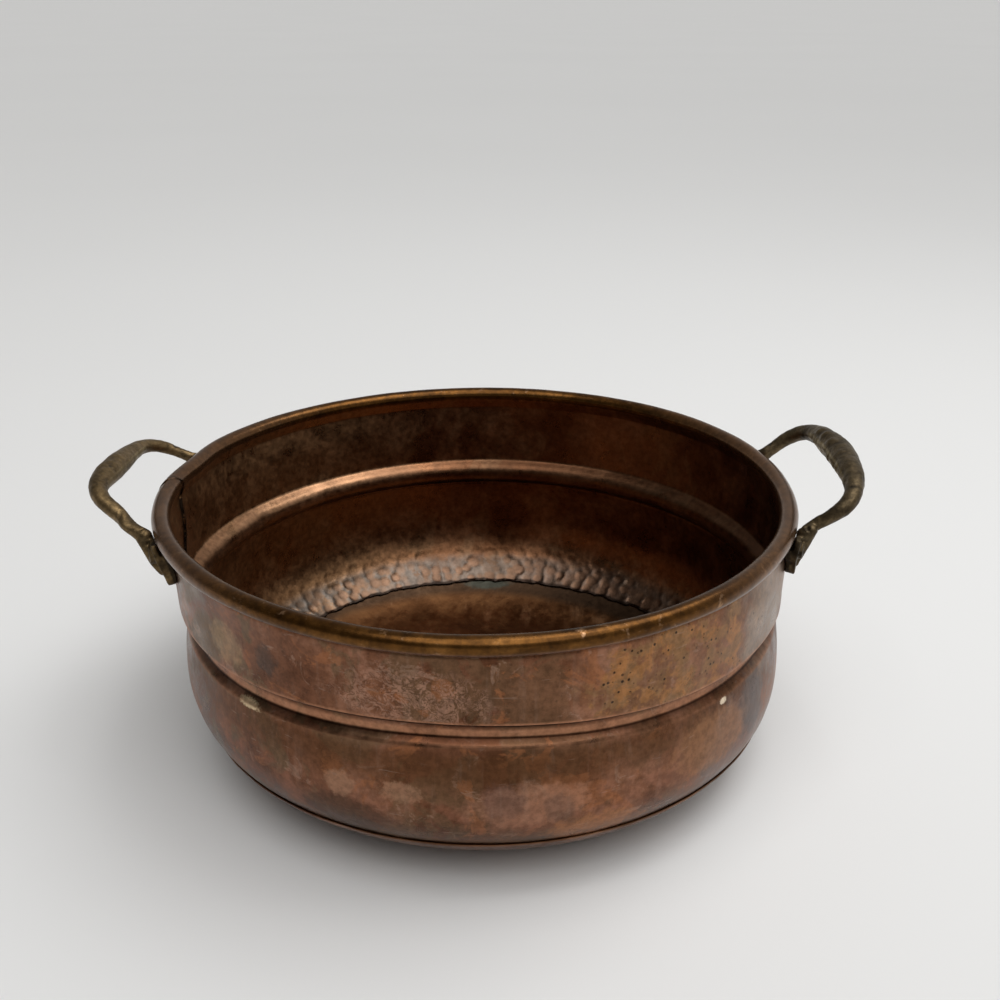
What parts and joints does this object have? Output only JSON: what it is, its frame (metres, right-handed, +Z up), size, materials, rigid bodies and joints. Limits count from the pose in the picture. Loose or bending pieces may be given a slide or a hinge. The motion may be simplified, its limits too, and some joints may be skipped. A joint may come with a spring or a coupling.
{
  "type": "two-handled copper bowl",
  "caption": "Round hammered copper bowl with a wired rim, a swaged waist, a lapped-on dished base and riveted cast handles for lifting it full.",
  "frame": {"origin": "on the table under the bowl's axis, at the underside of the base", "axes": "+Z up along the bowl's axis, the handles at -X and +X, the front at -Y"},
  "size_m": [0.3794, 0.32, 0.1576],
  "materials": {
    "wall_copper": "aged, brown patina",
    "base_copper": "hammered, aged",
    "rivet_copper": "hammered flush, aged",
    "handle_brass": "as cast, tarnished",
    "wire_iron": "black iron wire"
  },
  "bodies": {
    "root": {"bowl_wall": "wall_copper", "rim_wire": "wire_iron", "bowl_base": "base_copper", "handle_left": "handle_brass", "handle_right": "handle_brass", "rivet_left_front": "rivet_copper", "rivet_left_back": "rivet_copper", "rivet_right_front": "rivet_copper", "rivet_right_back": "rivet_copper"}
  },
  "joints": []
}
